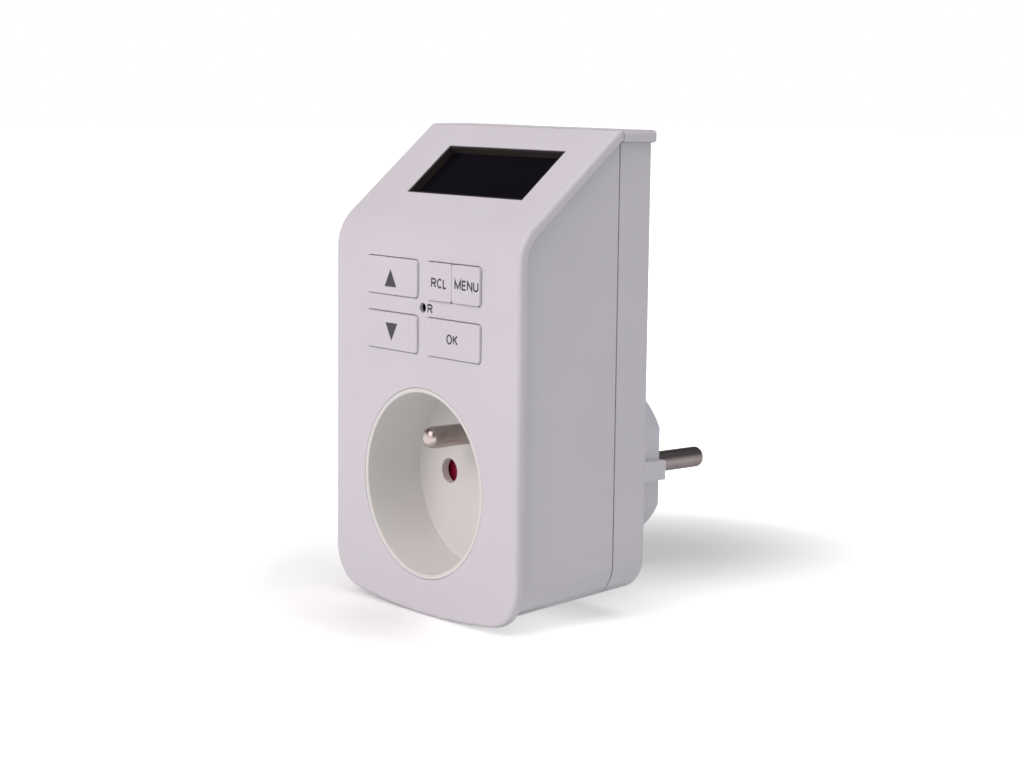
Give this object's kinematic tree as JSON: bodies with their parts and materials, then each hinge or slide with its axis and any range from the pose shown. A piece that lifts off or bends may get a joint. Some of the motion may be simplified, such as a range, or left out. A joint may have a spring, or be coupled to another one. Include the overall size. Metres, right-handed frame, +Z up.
{
  "type": "plug in timer switch",
  "caption": "Plug-in timer switch: slanted display and push keys above an earthed round socket, with a round earthed mains plug on its back.",
  "frame": {"origin": "middle of the plug's end face, on the line between the two plug pins", "axes": "+X to the right seen from the front, +Y out of the back along the plug pins, +Z up"},
  "size_m": [0.065, 0.0754, 0.1066],
  "materials": {
    "case_plastic": "satin moulded",
    "plug_plastic": "satin moulded",
    "socket_plastic": "smooth moulded",
    "key_plastic": "fine satin",
    "shutter_plastic": "moulded",
    "carrier_plastic": "moulded",
    "black_plastic": "moulded",
    "switch_body": "moulded",
    "nickel": "nickel plated, lightly brushed",
    "spring_steel": "bright",
    "zinc_steel": "zinc plated",
    "contact_brass": "bright stamped",
    "wire_brown": "insulation",
    "wire_black": "insulation",
    "wire_blue": "insulation",
    "board": "solder resist",
    "cell_steel": "drawn cup",
    "ribbon": "flat cable",
    "lens": "polished, smoked",
    "lcd": "polished",
    "strip_rubber": "layered",
    "relay_plastic": "moulded",
    "coil_copper": "enamelled winding",
    "relay_iron": "plated",
    "film_box": "moulded box",
    "can_sleeve": "shrink sleeve",
    "fuse_ceramic": "ceramic with metal caps",
    "varistor_coat": "dipped coating"
  },
  "bodies": {
    "case": {"front_cover": "case_plastic", "rear_cover": "case_plastic", "plug_body": "plug_plastic", "socket_insert": "socket_plastic", "contact_carrier": "carrier_plastic", "plug_retainer": "carrier_plastic", "display_frame": "black_plastic", "relay_base": "black_plastic", "controller_chip": "black_plastic", "switch_cases": "switch_body", "live_pin": "nickel", "neutral_pin": "nickel", "earth_pin": "nickel", "shutter_spring": "spring_steel", "earth_clip": "spring_steel", "case_screws": "zinc_steel", "retainer_screws": "zinc_steel", "carrier_screws": "zinc_steel", "key_board_screws": "zinc_steel", "display_screws": "zinc_steel", "power_board_screws": "zinc_steel", "earth_sleeve": "contact_brass", "earth_strap": "contact_brass", "live_contact": "contact_brass", "neutral_contact": "contact_brass", "neutral_link": "contact_brass", "live_wire": "wire_brown", "switched_wire": "wire_black", "neutral_wire": "wire_blue", "key_board": "board", "display_board": "board", "power_board": "board", "backup_cell": "cell_steel", "ribbon_cable": "ribbon", "display_lens": "lens", "lcd_panel": "lcd", "contact_strips": "strip_rubber", "relay_case": "relay_plastic", "relay_coil": "coil_copper", "relay_yoke": "relay_iron", "suppression_capacitor": "film_box", "smoothing_capacitor": "can_sleeve", "fuse": "fuse_ceramic", "varistor": "varistor_coat"},
    "up_key": {"key_up": "key_plastic", "plunger_up": "black_plastic"},
    "down_key": {"key_down": "key_plastic", "plunger_down": "black_plastic"},
    "recall_key": {"key_recall": "key_plastic", "plunger_recall": "black_plastic"},
    "menu_key": {"key_menu": "key_plastic", "plunger_menu": "black_plastic"},
    "ok_key": {"key_ok": "key_plastic", "plunger_ok": "black_plastic"},
    "reset_pin": {"plunger_reset": "black_plastic"},
    "shutter": {"shutter": "shutter_plastic"},
    "armature": {"relay_armature": "relay_iron"}
  },
  "joints": [
    {"name": "up_key_press", "type": "slide", "parent": "case", "child": "up_key", "axis": [0, 1, 0], "range_m": [0, 0.0004], "stiffness_N_per_m": 400, "springref_m": -0.0003},
    {"name": "down_key_press", "type": "slide", "parent": "case", "child": "down_key", "axis": [0, 1, 0], "range_m": [0, 0.0004], "stiffness_N_per_m": 400, "springref_m": -0.0003},
    {"name": "recall_key_press", "type": "slide", "parent": "case", "child": "recall_key", "axis": [0, 1, 0], "range_m": [0, 0.0004], "stiffness_N_per_m": 400, "springref_m": -0.0003},
    {"name": "menu_key_press", "type": "slide", "parent": "case", "child": "menu_key", "axis": [0, 1, 0], "range_m": [0, 0.0004], "stiffness_N_per_m": 400, "springref_m": -0.0003},
    {"name": "ok_key_press", "type": "slide", "parent": "case", "child": "ok_key", "axis": [0, 1, 0], "range_m": [0, 0.0004], "stiffness_N_per_m": 400, "springref_m": -0.0003},
    {"name": "reset_pin_press", "type": "slide", "parent": "case", "child": "reset_pin", "axis": [0, 1, 0], "range_m": [0, 0.0004], "stiffness_N_per_m": 400, "springref_m": -0.0003},
    {"name": "shutter_slide", "type": "slide", "parent": "case", "child": "shutter", "axis": [0, 0, -1], "range_m": [0, 0.0065], "stiffness_N_per_m": 60, "springref_m": -0.002, "deforming": ["shutter_spring"]},
    {"name": "armature_pull", "type": "hinge", "parent": "case", "child": "armature", "pos_m": [-0.012, -0.0363, 0.0426], "axis": [1, 0, 0], "range_deg": [0, 4], "stiffness_Nm_per_rad": 0.005, "springref_deg": -2.86}
  ]
}
